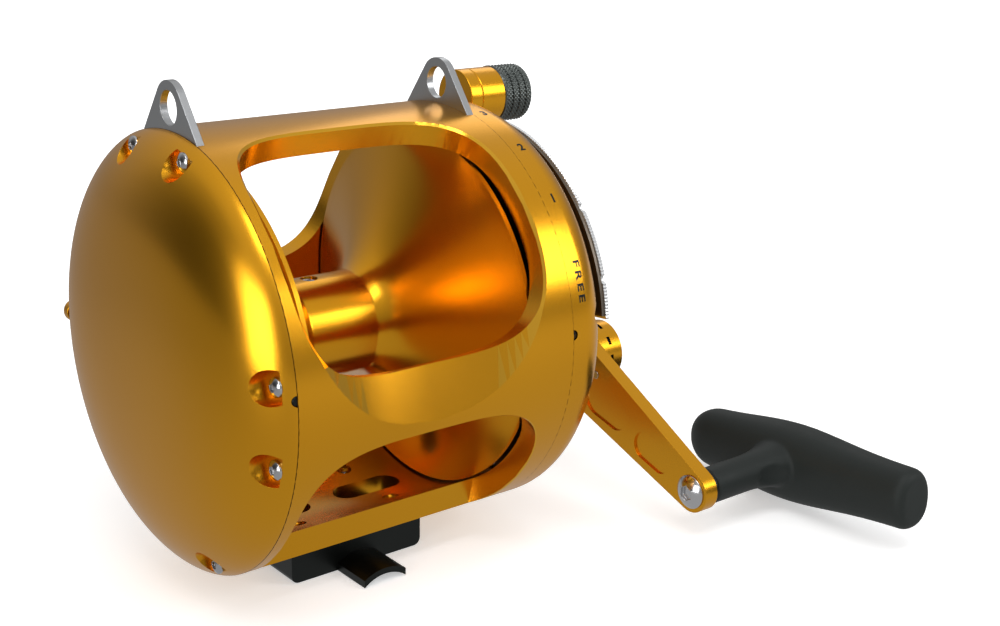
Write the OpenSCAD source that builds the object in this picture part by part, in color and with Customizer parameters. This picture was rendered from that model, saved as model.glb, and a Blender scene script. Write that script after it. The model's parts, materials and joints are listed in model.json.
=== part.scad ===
// Two-speed lever-drag trolling reel.
// X is the spool axis and points to the crank side, +Y is towards the rod tip, +Z is up.
// The origin is the centre of the foot face that sits on the rod.

/* [Frame] */
// Outer radius of the frame and of both side plates
plate_r = 82.5; // [78:0.5:100]
// Width of the frame between its two seams
frame_w = 118.6; // [98:0.2:143]
// Wall of the frame tube
frame_wall = 9; // [8:0.5:10.8]
// Height of the foot under the frame
foot_h = 8.8; // [8.4:0.2:14]
// Half angle of the top rail, in degrees
top_rail_half = 13; // [12:1:15]
// Angle of the rear rail's upper edge above the horizontal
rail_top_angle = 4.5; // [2:0.5:6]
// Angle of the rear rail's lower edge below the horizontal
rail_low_angle = 12; // [10:1:15]
// Half width of the flat-sided bottom rail
bottom_rail_half = 37; // [33:1:42]
// Width of the frame ring on the click side
left_ring_w = 4.6; // [4:0.2:5.5]
// Width of the frame ring on the crank side
right_ring_w = 9; // [8:0.5:10.8]
// Polished bevel along the edges of the upper windows
window_bevel = 0.9; // [0.5:0.1:1.2]
// Broken edge of the lower windows
low_bevel = 0.3; // [0.2:0.1:0.6]
// Fall of the thumb scoop on the rear rail, in degrees
scoop_angle = 13; // [10:0.5:16]

/* [Side plates] */
// Depth of the domed cover on the click side
dome_depth = 21.5; // [21:0.5:26]
// Wall of the covers
cover_wall = 3.2; // [2.6:0.2:3.9]
// Distance of the plate screws inside the rim
screw_inset = 5.5; // [5.2:0.1:6]
// Thread radius of the plate screws
screw_r = 2; // [1.8:0.1:2.3]
// Radius of the milled pocket over each screw head
pocket_r = 6.2; // [5:0.1:6.4]

/* [Harness lugs] */
// Thickness of a lug
lug_t = 3; // [2.4:0.1:3.6]
// Radius of the lug's eye
lug_eye_r = 6.2; // [5:0.1:6.8]
// Height of the eye's centre above the frame
lug_rise = 7.8; // [7:0.1:10]
// Radius of the lug's round top
lug_top_r = 9.7; // [9:0.1:11.5]
// Half width of the lug where it leaves the frame
lug_base_half = 20.6; // [18:0.2:23]

/* [Spool] */
// Radius of the bare spool arbor
arbor_r = 20; // [18:0.5:24]
// Radial gap between the spool rim and the frame
spool_gap = 0.9; // [0.6:0.1:1.2]
// Distance of the spool's rims from the frame's seams
spool_inset = 10; // [9.8:0.1:14]
// Radius of the spool shaft
shaft_r = 6; // [5.4:0.1:6.6]

/* [Gears] */
// Tooth module of both gear pairs
gear_module = 1; // [0.96:0.01:1.04]
// Teeth of the high-speed gear on the crank
high_gear_teeth = 52; // [50:1:54]
// Teeth of the high-speed pinion on the spool shaft
high_pinion_teeth = 20; // [18:1:22]
// Teeth of the low-speed gear on the crank. The low pinion takes the rest of the centre distance
low_gear_teeth = 41; // [39:1:43]
// Width of each gear
gear_w = 5; // [4:0.2:6.2]
// Angle of the crank axis below the rear horizontal
crank_angle = 77.5; // [74:0.5:82]

/* [Crank] */
// Length of the arm between the crank axis and the grip
arm_len = 87.2; // [80:0.2:105]
// Rest angle of the arm below the rear horizontal
arm_angle = 24.2; // [15:0.2:40]
// Thickness of the arm
arm_t = 6.6; // [5.6:0.2:9]
// Half width of the arm at the crank axis
arm_root_r = 15.5; // [15:0.5:17]
// Half width of the arm at the grip
arm_tip_r = 8.8; // [8.2:0.2:10.5]
// Gap between the drag lever's cap and the head of the grip bolt
arm_gap = 0.6; // [0.5:0.1:6]
// Length of the grip bar
grip_len = 121.4; // [110:0.2:140]
// Distance from the arm to the middle of the grip bar
grip_reach = 55.8; // [50:0.1:62]

/* [Drag lever] */
// Distance of the lever barrel's axis inside the rim of the side plate
lever_inset = 0; // [0:0.1:2]
// Rest angle of the lever above the rear horizontal
lever_angle = 108; // [103:1:115]
// Radius of the lever barrel
barrel_r = 11.7; // [10:0.1:12.5]
// Length of the bare lever barrel
barrel_len = 12.3; // [11:0.1:17]
// Length of the knurled cap
cap_len = 14.4; // [10:0.1:17.4]

/* [Clearances] */
// Radial running clearance of shafts
run_gap = 0.04; // [0.02:0.01:0.08]
// Gap between parts that turn past each other
turn_gap = 0.4; // [0.3:0.05:0.6]
// Clearance of a spigot or a seated piece
seat_gap = 0.05; // [0.02:0.01:0.08]

/* [Hidden] */
$fn = 64;

gold = [0.86, 0.58, 0.08];
silver = [0.78, 0.79, 0.8];
black = [0.08, 0.08, 0.085];
steel = [0.6, 0.61, 0.63];
dark = [0.25, 0.24, 0.22];
eps = 0.01;

half_w = frame_w / 2;
axis_h = plate_r + foot_h;
bore_r = plate_r - frame_wall;
win_x0 = -half_w + left_ring_w;
win_x1 = half_w - right_ring_w;

// Angles of the plate screws, from the rear horizontal upwards
screw_angles = [76, 104, 8, -14, -66, -114, 170, 194];
screw_circle_r = plate_r - screw_inset;
right_circle_r = screw_circle_r - 0.5;
left_screw_len = 11;
right_screw_len = 17.5;
tap_depth = 8;
head_r = 1.75 * screw_r;
head_h = 1.1 * screw_r;
pocket_floor = 4.2;

// Layout along the spool axis on the crank side, counted from the frame's seam
bridge_t = 3;
low_gear_x = half_w + bridge_t + 1.8;
high_gear_x = low_gear_x + gear_w + 1.2;
wheel_x = high_gear_x + gear_w + 0.4;
wheel_t = 2;
right_depth = wheel_x + wheel_t + 0.6 + cover_wall - half_w;
plate_face_x = half_w + right_depth;
backing_t = 1.5;
quadrant_t = 1.6;
quadrant_x = plate_face_x + backing_t;
lever_x = quadrant_x + quadrant_t + turn_gap;
lever_t = 6;
lever_hub_r = 15;
preset_x = lever_x + lever_t + turn_gap;
barrel_x = lever_x + lever_t;
lever_reach = plate_r - lever_inset;
bolt_head_h = 3.4;
arm_x = barrel_x + barrel_len + cap_len + arm_gap + bolt_head_h;

// Gears and crank axis
low_pinion_teeth = high_gear_teeth + high_pinion_teeth - low_gear_teeth;
gear_centre = gear_module * (high_gear_teeth + high_pinion_teeth) / 2;
crank_y = -gear_centre * cos(crank_angle);
crank_z = -gear_centre * sin(crank_angle);
crank_shaft_r = 8;
boss_len = 14;
boss_r = 17;

// Spool
rim_r = bore_r - spool_gap;
rim_t = 2.6;
flange_t = 3.4;
spool_half = half_w - spool_inset;
washer_x = spool_half - 4.4;
washer_t = 2.5;
washer_r = rim_r - 14.6;
plate_gap = 0.35;
pressure_x = washer_x + washer_t + plate_gap;
pressure_t = 4;

// Bearings
bearing_wall = 4.5;
bearing_w = 6;

// Foot
foot_half_x = 30;
foot_half_y = 26;
foot_corner_r = 3;
foot_seat_r = plate_r + seat_gap;
foot_screw_x = 21.6;
foot_screw_y = 17.3;
foot_screw_r = 2;
foot_head_r = 3;
foot_sink = 4;
slot_r = 6.3;
slot_half = 9;
tongue_half = 9.5;
tongue_len = 19;
tongue_rod_r = 15;
tongue_t = 2.4;
clamp_x = 13;
clamp_y = 18;
clamp_r = 2.5;
clamp_depth = 6;

function spow(v, p) = sign(v) * pow(abs(v), p);
function polar(r, a) = [r * cos(a), r * sin(a)];
function arc(c, r, a0, a1, n) = [for (i = [0 : n]) c + polar(r, a0 + (a1 - a0) * i / n)];
// Point at angle a above the rear horizontal, at distance r from the spool axis
function around(x, r, a) = [x, -r * cos(a), r * sin(a)];

// Places children, drawn about the spool axis, at their height
module on_axis() { translate([0, 0, axis_h]) children(); }
module on_crank() { translate([0, crank_y, axis_h + crank_z]) children(); }
module at_angle(a, r = 0) { rotate([-a, 0, 0]) translate([0, -r, 0]) children(); }

// Turns a profile of [x, radius] points about the X axis
module revolve(pts, angle = 360) {
    rotate([0, 90, 0]) rotate_extrude(angle = angle) polygon([for (p = pts) [p[1], p[0]]]);
}
module rod_x(x, r, len) { translate([x, 0, 0]) rotate([0, 90, 0]) cylinder(r = r, h = len); }
module tube_x(x, r_out, r_in, len) {
    difference() {
        rod_x(x, r_out, len);
        rod_x(x - 1, r_in, len + 2);
    }
}
// Ring sector about the X axis between angles a0 and a1
module sector_x(x, r_in, r_out, len, a0, a1) {
    translate([x, 0, 0]) rotate([-a1, 0, 0]) rotate([0, 90, 0]) rotate([0, 0, -90])
        rotate_extrude(angle = a1 - a0) translate([r_in, 0]) square([r_out - r_in, len]);
}

// Machine screw along X, head at x and shank towards dir
module screw_x(x, dir, r, len, hr, hh) {
    translate([x, 0, 0]) rotate([0, 90 * dir, 0]) {
        translate([0, 0, -eps]) cylinder(r = r, h = len + eps);
        translate([0, 0, -hh]) difference() {
            intersection() {
                cylinder(r = hr, h = hh);
                translate([0, 0, hr * 1.45]) sphere(r = hr * 1.45);
            }
            translate([0, 0, -eps]) cylinder(r = hr * 0.45, h = hh * 0.6, $fn = 6);
        }
    }
}

/* ---- frame windows ---- */
win_steps = 72;
win_power = 3.7;
// Share of the window's half width that the thumb scoop takes, and the wall left under it
scoop_reach = 0.9;
scoop_wall = 1.8;
// Fall of the lower windows past the flat sides of the bottom rail, in degrees
low_fall = 9;

// Closed cutter with radial walls: rings of points from the axis outwards
module radial_cutter(rings, inner, outer) {
    n = len(rings[0]);
    m = len(rings);
    pts = concat([for (ring = rings) each ring], [inner, outer]);
    polyhedron(pts, concat(
        [for (k = [0 : m - 2], i = [0 : n - 1]) each [
            [k * n + i, (k + 1) * n + i, k * n + (i + 1) % n],
            [k * n + (i + 1) % n, (k + 1) * n + i, (k + 1) * n + (i + 1) % n]]],
        [for (i = [0 : n - 1]) [i, (i + 1) % n, m * n]],
        [for (i = [0 : n - 1]) [(m - 1) * n + (i + 1) % n, (m - 1) * n + i, m * n + 1]]
    ), convexity = 4);
}

// Rounded window between angles a0 and a1. scoop is the extra fall of its lower edge
module window(a0, a1, scoop, bevel) {
    cx = (win_x0 + win_x1) / 2;
    hx = (win_x1 - win_x0) / 2;
    ca = (a0 + a1) / 2;
    ha = (a1 - a0) / 2;
    reach = scoop_reach * hx;
    deg = 180 / PI / plate_r;
    dirs = [for (i = [0 : win_steps - 1]) [cos(i * 360 / win_steps), sin(i * 360 / win_steps)]];
    ux = [for (d = dirs) spow(d[0], 2 / win_power)];
    ua = [for (d = dirs) spow(d[1], 2 / win_power)];
    dip = [for (i = [0 : win_steps - 1])
        ua[i] < 0 ? max(0, 1 - pow(hx * ux[i] / reach, 2)) * (scoop > 0 ? 1 : 0) : 0];
    depth = [for (s = dip) bevel + (frame_wall - scoop_wall - bevel) * s];
    // The cutter runs past the surface, and its outline grows on in step
    over = 1.2;
    grow = [for (d = depth) (d + over) / d];
    rings = [
        [for (i = [0 : win_steps - 1]) around(cx + hx * ux[i], bore_r - 7, ca + ha * ua[i])],
        [for (i = [0 : win_steps - 1]) around(cx + hx * ux[i], plate_r - depth[i], ca + ha * ua[i])],
        [for (i = [0 : win_steps - 1])
            around(cx + hx * ux[i] + bevel * grow[i] * dirs[i][0], plate_r + over,
                ca + ha * ua[i] + bevel * deg * grow[i] * dirs[i][1] * (1 - dip[i])
                - scoop * dip[i] * grow[i])]
    ];
    radial_cutter(rings, around(cx, bore_r - 30, ca), around(cx, plate_r * 1.6, ca));
}

module windows() {
    for (side = [0, 1]) mirror([0, side, 0]) {
        window(rail_top_angle, 90 - top_rail_half, side == 0 ? scoop_angle : 0, window_bevel);
        intersection() {
            window(-acos(bottom_rail_half / plate_r) - low_fall, -rail_low_angle, 0, low_bevel);
            translate([-frame_w, -2 * plate_r - bottom_rail_half, -2 * plate_r])
                cube([2 * frame_w, 2 * plate_r, 4 * plate_r]);
        }
    }
}

module foot_screw_places() {
    for (x = [-foot_screw_x, foot_screw_x], y = [-foot_screw_y, foot_screw_y])
        translate([x, y, -sqrt(pow(bore_r, 2) - pow(foot_screw_y, 2))]) children();
}

module frame() {
    color(gold) on_axis() difference() {
        tube_x(-half_w, plate_r, bore_r, frame_w);
        windows();
        for (s = [-1, 1]) lug_shape(s, lug_t + seat_gap, seat_gap);
        // Tapped holes for the plate screws
        for (a = screw_angles) {
            at_angle(a, screw_circle_r) rod_x(-half_w - 1, screw_r + seat_gap, tap_depth + 1);
            at_angle(a, right_circle_r) rod_x(half_w - tap_depth, screw_r + seat_gap, tap_depth + 1);
        }
        // Weight slots in the bottom rail
        for (s = [-1, 1]) translate([s * foot_screw_x, 0, -plate_r - 5]) linear_extrude(height = 20) {
            for (e = [-1, 1]) translate([e * slot_half, 0]) circle(r = slot_r);
            square(2 * [slot_half, slot_r], center = true);
        }
        foot_screw_places() {
            translate([0, 0, -20]) cylinder(r = foot_screw_r + seat_gap, h = 40);
            translate([0, 0, -foot_sink]) cylinder(r = foot_head_r + 0.3, h = 20);
        }
    }
}

/* ---- covers ---- */
// Depth of the dome at radius fraction t: a round shoulder that runs into a nearly flat face
function dome_edge(t) = dome_depth * (0.75 * pow(1 - pow(t, 4.5), 0.715) + 0.25 * (1 - t * t));
cover_cavity_r = plate_r - 16.5;
spigot_len = 3;
left_bearing_x = -half_w - dome_depth + cover_wall + 2;
dome_steps = 28;
dome_ts = [for (i = [0 : dome_steps]) sin(i * 90 / dome_steps)];
function dome_pts(r) = [for (t = dome_ts) [-half_w - dome_edge(t), r * t]];

// Milled pockets, their floor at depth off the seam, and the screw holes under them
module pockets(s, depth, circle_r, r) {
    len = 40;
    for (a = screw_angles) at_angle(a, circle_r) {
        rod_x(s > 0 ? half_w + depth : -half_w - depth - len, r, len);
        rod_x(s > 0 ? half_w - 1 : -half_w - len + 1, screw_r + seat_gap, len);
    }
}
// Small radial holes at the seams
module seam_holes(s) {
    for (a = [4.6, 175.4]) at_angle(a, plate_r + 1)
        translate([s * half_w, 0, 0]) rotate([-90, 0, 0]) cylinder(r = 2, h = 4);
}

boss_in_r = shaft_r + run_gap + bearing_wall + seat_gap;
boss_wall = 4;
boss_back = 3.4;
module left_cover() {
    color(gold) on_axis() difference() {
        union() {
            difference() {
                revolve(concat([[-half_w, 0]], dome_pts(plate_r)));
                revolve(concat([[-half_w + 1, 0]],
                    [for (t = dome_ts) [-half_w - dome_edge(t * cover_cavity_r / plate_r) + cover_wall,
                        cover_cavity_r * t]], [[-half_w + 1, cover_cavity_r]]));
            }
            // Spigot in the frame, bearing boss on the axis and the click button's guide
            tube_x(-half_w - 1, bore_r - seat_gap, cover_cavity_r, 1 + spigot_len);
            rod_x(left_bearing_x - boss_back, boss_in_r + boss_wall, bearing_w + boss_back);
            translate([click_x - guide_back, guide_y, -guide_half])
                cube([guide_back + guide_half - 1, guide_t, 2 * guide_half]);
        }
        rod_x(left_bearing_x, boss_in_r, dome_depth);
        pockets(-1, pocket_floor, screw_circle_r, pocket_r);
        seam_holes(-1);
        click_bore();
    }
}

// Push button through the front shoulder of the cover. Its stem carries the pawl
click_x = left_bearing_x + bearing_w + 2.6;
click_r = 4.5;
click_stem_r = 2.2;
click_travel = 2.5;
click_head_t = 3.8;
click_floor = bore_r - 5;
guide_y = 36;
guide_t = 7;
guide_half = 6;
guide_back = 10.2;
ratchet_r = 25;
module click_bore() {
    translate([click_x, 0, 0]) rotate([-90, 0, 0]) {
        translate([0, 0, 30]) cylinder(r = click_stem_r + run_gap, h = 60);
        translate([0, 0, click_floor]) cylinder(r = click_r + 0.3, h = 30);
    }
}
module click_button() {
    top = click_floor + click_travel + 0.3;
    tip = ratchet_r + click_travel + 0.7;
    color(gold) on_axis() translate([click_x, 0, 0]) rotate([-90, 0, 0]) {
        translate([0, 0, top]) cylinder(r = click_r, h = click_head_t);
        translate([0, 0, tip]) cylinder(r = click_stem_r, h = top - tip + 1);
    }
}

module left_cover_screws() {
    color(steel) on_axis() for (a = screw_angles) at_angle(a, screw_circle_r)
        screw_x(-half_w - pocket_floor, 1, screw_r, left_screw_len, head_r, head_h);
}

/* ---- crank-side plate ---- */
right_pocket_depth = 10.7;
right_pocket_r = 4.6;
chamber_r = plate_r - 16.5;
bridge_r = plate_r - 9.5;
shoulder_drop = 20;
right_straight = 6.6;
module right_profile() {
    span = right_depth - right_straight;
    revolve(concat([[half_w, 0], [half_w, plate_r]],
        [for (a = [0 : 6 : 84])
            [half_w + right_straight + span * sin(a) / sin(84),
             plate_r - shoulder_drop * (1 - cos(a)) / (1 - cos(84))]],
        [[plate_face_x, 0]]));
}

sleeve_r = lever_hub_r - 4;
module boss_holes() {
    translate([0, crank_y, crank_z]) for (a = [30 : 120 : 359]) at_angle(a, boss_r - 2.4) children();
}
module quadrant_holes() { for (a = quadrant_screw_angles) at_angle(a, quadrant_screw_r) children(); }

module right_side_plate() {
    color(gold) on_axis() difference() {
        right_profile();
        rod_x(half_w - 1, bridge_r + seat_gap, 1 + bridge_t + seat_gap);
        rod_x(half_w, chamber_r, right_depth - cover_wall);
        pockets(1, right_pocket_depth, right_circle_r, right_pocket_r);
        seam_holes(1);
        rod_x(half_w, sleeve_r + run_gap, 40);
        translate([0, crank_y, crank_z]) rod_x(half_w, crank_shaft_r + 3, 40);
        boss_holes() rod_x(plate_face_x - 2.8, 1.3, 10);
        quadrant_holes() rod_x(plate_face_x - 2.8, 1.3, 10);
        bridge_holes() rod_x(half_w, 1.55, bridge_t + 6);
        translate([0, crank_y + dog_y, crank_z + dog_z])
            rod_x(wheel_x, dog_pin_r + seat_gap, dog_pin_len - 0.2 + seat_gap);
    }
}
module right_plate_screws() {
    color(steel) on_axis() for (a = screw_angles) at_angle(a, right_circle_r)
        screw_x(half_w + right_pocket_depth, -1, screw_r, right_screw_len, head_r, head_h);
}

module bridge_holes() { for (a = [0 : 60 : 359]) at_angle(a, (chamber_r + bridge_r) / 2) children(); }
module bridge_plate() {
    color(steel) on_axis() difference() {
        union() {
            rod_x(half_w, bridge_r, bridge_t);
            rod_x(half_w - boss_back, boss_in_r + boss_wall, boss_back + 0.6);
        }
        rod_x(half_w - 5, boss_in_r, 20);
        translate([0, crank_y, crank_z]) rod_x(half_w - 1, bush_r + seat_gap, 20);
        bridge_holes() rod_x(half_w - 1, 1.55, 20);
    }
}
module bridge_screws() {
    color(steel) on_axis() bridge_holes() screw_x(half_w, 1, 1.5, 8, 2.7, 1.6);
}

/* ---- harness lugs ---- */
lug_eye_h = plate_r + lug_rise;
lug_base_z = plate_r - 3.2;
lug_band_half = 18.5;
// Half angle of the round top, where the straight flanks touch it
function flank_angle(g) = atan2(lug_eye_h - lug_base_z, lug_base_half + g)
    + asin((lug_top_r + g) / norm([lug_base_half + g, lug_eye_h - lug_base_z]));
module lug_outline(g) {
    a = flank_angle(g);
    polygon(concat([[0, bore_r - 3], [lug_base_half + g, lug_base_z]],
        arc([0, lug_eye_h], lug_top_r + g, 90 - a, 90 + a, 48), [[-lug_base_half - g, lug_base_z]]));
    // Hidden band that takes two plate screws
    polygon(concat(arc([0, 0], plate_r - 1.4 + g, 90 - lug_band_half - g, 90 + lug_band_half + g, 12),
        arc([0, 0], bore_r - 4, 90 + lug_band_half + g, 90 - lug_band_half - g, 12)));
}
// Lug drawn in the plane of a seam, s is the side; g grows it into the recess of the frame
module lug_shape(s, t, g) {
    translate([s > 0 ? half_w - t : -half_w - (g > 0 ? 1 : 0), 0, 0]) rotate([90, 0, 90])
        linear_extrude(height = t + (g > 0 ? 1 : 0)) difference() {
            intersection() {
                lug_outline(g);
                difference() {
                    circle(r = plate_r * 2);
                    circle(r = bore_r + 0.6 - g);
                }
            }
            if (g == 0) {
                translate([0, lug_eye_h]) circle(r = lug_eye_r);
                for (a = [-14, 14]) rotate(a)
                    translate([0, s < 0 ? screw_circle_r : right_circle_r]) circle(r = screw_r + seat_gap);
            }
        }
}
module left_harness_lug() { color(silver) on_axis() lug_shape(-1, lug_t, 0); }
module right_harness_lug() { color(silver) on_axis() lug_shape(1, lug_t, 0); }

/* ---- foot ---- */
function rounded(hw, z0, z1, r) = concat(
    [[-hw, z1]],
    [for (a = [180 : 15 : 270]) [-hw + r, z0 + r] + polar(r, a)],
    [for (a = [270 : 15 : 360]) [hw - r, z0 + r] + polar(r, a)],
    [[hw, z1]]);
module reel_foot() {
    tongue_c = -axis_h - sqrt(pow(tongue_rod_r, 2) - pow(tongue_half, 2));
    color(black) on_axis() difference() {
        union() {
            translate([0, foot_half_y, 0]) rotate([90, 0, 0])
                linear_extrude(height = 2 * foot_half_y)
                    polygon(rounded(foot_half_x, -axis_h, -plate_r + 8, foot_corner_r));
            // Tongues curved to lie along the rod
            intersection() {
                translate([0, foot_half_y + tongue_len, tongue_c]) rotate([90, 0, 0])
                    cylinder(r = tongue_rod_r + tongue_t, h = 2 * (foot_half_y + tongue_len));
                translate([-tongue_half, -foot_half_y - tongue_len, -axis_h])
                    cube([2 * tongue_half, 2 * (foot_half_y + tongue_len), 12]);
            }
        }
        rod_x(-frame_w, foot_seat_r, 2 * frame_w);
        for (e = [-1, 1]) translate([0, e > 0 ? foot_half_y + tongue_len + 1 : -foot_half_y, tongue_c])
            rotate([90, 0, 0]) cylinder(r = tongue_rod_r, h = tongue_len + 1);
        for (x = [-foot_screw_x, foot_screw_x], y = [-foot_screw_y, foot_screw_y])
            translate([x, y, -plate_r - 6]) cylinder(r = foot_screw_r + seat_gap, h = 20);
        for (x = [-clamp_x, clamp_x], y = [-clamp_y, clamp_y])
            translate([x, y, -axis_h - 1]) cylinder(r = clamp_r, h = clamp_depth + 1);
    }
}
module foot_screws() {
    color(steel) on_axis() foot_screw_places() translate([0, 0, -foot_sink]) rotate([0, 90, 0])
        screw_x(0, 1, foot_screw_r, 12, foot_head_r, 2.4);
}

/* ---- drag quadrant ---- */
quadrant_a0 = 5;
quadrant_a1 = 152;
quadrant_r = plate_r - 8;
backing_r = quadrant_r - 0.7;
quadrant_in_r = quadrant_r - 18.5;
quadrant_screw_r = quadrant_in_r + 3.6;
quadrant_screw_angles = [22, 62, 100, 138];
tooth_pitch = 1;
detent_angles = [17, 39.5];
module quadrant_backing() {
    color(dark) on_axis() difference() {
        sector_x(plate_face_x, quadrant_in_r - 6, backing_r, backing_t, quadrant_a0 + 1, quadrant_a1 - 1);
        quadrant_holes() rod_x(plate_face_x - 1, 1.3, 5);
    }
}
// Fine saw edge outside, detent notches at the marked drag positions
module drag_quadrant() {
    teeth = floor((quadrant_a1 - quadrant_a0) / tooth_pitch);
    edge = [for (i = [0 : teeth - 1]) let (a = quadrant_a0 + i * tooth_pitch)
        each [polar(quadrant_r - 0.35, 180 - a), polar(quadrant_r, 180 - a - tooth_pitch / 2)]];
    color(silver) on_axis() translate([quadrant_x, 0, 0]) rotate([90, 0, 90])
        linear_extrude(height = quadrant_t) difference() {
            polygon(concat(edge, [for (a = [quadrant_a1 : -3 : quadrant_a0]) polar(quadrant_in_r, 180 - a)]));
            for (a = detent_angles) translate(polar(quadrant_r, 180 - a)) circle(r = 1.5);
            for (a = quadrant_screw_angles) translate(polar(quadrant_screw_r, 180 - a)) circle(r = 1.3);
        }
}
module quadrant_screws() {
    color(steel) on_axis() quadrant_holes()
        rod_x(plate_face_x - 2.7, 1.25, quadrant_t + backing_t + 2.7);
}

/* ---- bearings and crank boss ---- */
bush_r = crank_shaft_r + run_gap + 2;
crank_bearing_r = crank_shaft_r + run_gap + bearing_wall;
module crank_boss() {
    color(gold) on_crank() difference() {
        rod_x(plate_face_x, boss_r, boss_len);
        rod_x(plate_face_x - 1, crank_shaft_r + 1.5, boss_len + 2);
        rod_x(plate_face_x + boss_len - bearing_w, crank_bearing_r + seat_gap, bearing_w + 1);
        for (a = [30 : 120 : 359]) at_angle(a, boss_r - 2.4) rod_x(plate_face_x - 1, 1.3, boss_len + 2);
    }
}
module crank_boss_screws() {
    color(steel) on_axis() boss_holes() screw_x(plate_face_x + boss_len, -1, 1.25, boss_len + 2.6, 2.2, 1.3);
}
module inner_crank_bearing() {
    color("goldenrod") on_crank() tube_x(half_w, bush_r, crank_shaft_r + run_gap, bridge_t);
}
module outer_crank_bearing() {
    color(steel) on_crank()
        tube_x(plate_face_x + boss_len - bearing_w, crank_bearing_r, crank_shaft_r + run_gap, bearing_w);
}
shaft_bearing_r = shaft_r + run_gap + bearing_wall;
module left_shaft_bearing() {
    color(steel) on_axis() tube_x(left_bearing_x, shaft_bearing_r, shaft_r + run_gap, bearing_w);
}
module right_shaft_bearing() {
    color(steel) on_axis() tube_x(half_w - boss_back, shaft_bearing_r, shaft_r + run_gap, bearing_w);
}

/* ---- spool group ---- */
flare_x0 = 14;
flare_x1 = spool_half - 3.2;
function flare(s) = [flare_x0 + (flare_x1 - flare_x0) * pow(s, 0.6), arbor_r + (rim_r - 2 - arbor_r) * s];
flare_s = [for (i = [0 : 20]) pow(i / 20, 1.8)];
hub_r = 11.5;
arbor_wall = 4;
web_x = 20;
boss_step = 26;
tie_x = -4;
tie_sink = 2.6;
module spool_bores() {
    rod_x(-frame_w, shaft_r + seat_gap, 2 * frame_w);
    translate([tie_x, 0, 0]) cylinder(r = 1.6, h = arbor_r + 5);
    translate([tie_x, 0, arbor_r - tie_sink]) cylinder(r = 3.4, h = 10);
}
module spool() {
    // Line side, from the click side's rim over the arbor to the crank side's rim
    line_side = concat(
        [[-spool_half, rim_r - 1], [-spool_half + 0.8, rim_r], [-spool_half + rim_t, rim_r]],
        [for (i = [20 : -1 : 0]) let (p = flare(flare_s[i])) [-p[0], p[1]]],
        [for (i = [0 : 20]) flare(flare_s[i])],
        [[spool_half - rim_t, rim_r], [spool_half - 0.8, rim_r], [spool_half, rim_r - 1]]);
    // Back of the crank-side flange: a flat seat for the drag washer, then the hub
    back_right = [[spool_half, rim_r - 4], [washer_x + 1, rim_r - 9], [washer_x, washer_r + 3],
        [washer_x, boss_step], [boss_step, boss_step], [web_x, arbor_r - arbor_wall], [web_x, hub_r],
        [washer_x, hub_r], [washer_x, 0]];
    back_left = concat([[1 - spool_half, 0], [1 - spool_half, hub_r], [-web_x, hub_r],
        [-web_x, arbor_r - arbor_wall]],
        [for (i = [6 : 2 : 20]) let (p = flare(flare_s[i])) [-p[0] - flange_t, p[1] - flange_t / 2]],
        [[-spool_half, rim_r - 4]]);
    color(gold) on_axis() difference() {
        revolve(concat(line_side, back_right, back_left));
        spool_bores();
    }
}
module line_tie_screw() {
    color(steel) on_axis() translate([tie_x, 0, arbor_r - tie_sink]) {
        translate([0, 0, -5]) cylinder(r = 1.5, h = 5.2);
        difference() {
            cylinder(r = 3, h = 1.8);
            translate([0, 0, 0.8]) cylinder(r = 1.2, h = 2, $fn = 6);
        }
    }
}
shaft_x0 = left_bearing_x + 0.4;
shaft_x1 = lever_x + 1.2;
module spool_shaft() {
    color(steel) on_axis() rod_x(shaft_x0, shaft_r, shaft_x1 - shaft_x0);
}
module click_ratchet() {
    teeth = 24;
    color(steel) on_axis() difference() {
        union() {
            translate([click_x - 1, 0, 0]) rotate([90, 0, 90]) linear_extrude(height = 2)
                polygon([for (i = [0 : teeth - 1]) each [polar(ratchet_r - 2.5, i * 360 / teeth),
                    polar(ratchet_r, (i + 0.35) * 360 / teeth), polar(ratchet_r, (i + 0.6) * 360 / teeth)]]);
            rod_x(click_x - 2.2, 9, 5.6);
        }
        rod_x(-100, shaft_r + seat_gap, 100);
    }
}
module drag_washer() { color("dimgray") on_axis() tube_x(washer_x, washer_r, 27, washer_t); }
module pressure_plate() {
    color(silver) on_axis() difference() {
        union() {
            rod_x(pressure_x, washer_r + 2, pressure_t);
            rod_x(pressure_x, 13, pressure_t + 2.4);
        }
        rod_x(0, shaft_r + run_gap, 100);
        for (a = [0 : 60 : 359]) at_angle(a, 36) rod_x(pressure_x - 1, 8, 10);
    }
}

/* ---- gears ---- */
pressure_angle = 20;
backlash = 0.07;
function inv(a) = tan(a) * 180 / PI - a;
// Half angle of a tooth at radius r
function tooth_half(teeth, r) = let (rp = gear_module * teeth / 2, rb = rp * cos(pressure_angle))
    90 / teeth - backlash / rp * 180 / PI + inv(pressure_angle) - (r > rb ? inv(acos(rb / r)) : 0);
function tooth_radii(teeth) = let (rp = gear_module * teeth / 2, rb = rp * cos(pressure_angle))
    [rp - 1.25 * gear_module, max(rb, rp - gear_module), rp, rp + 0.5 * gear_module, rp + 0.97 * gear_module];
module gear_x(x, teeth, w, phase, bore) {
    rs = tooth_radii(teeth);
    translate([x, 0, 0]) rotate([90, 0, 90]) rotate(phase) linear_extrude(height = w) difference() {
        polygon([for (k = [0 : teeth - 1]) each concat(
            [for (r = rs) polar(r, k * 360 / teeth - tooth_half(teeth, r))],
            [for (i = [len(rs) - 1 : -1 : 0]) polar(rs[i], k * 360 / teeth + tooth_half(teeth, rs[i]))])]);
        circle(r = bore);
    }
}
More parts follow.
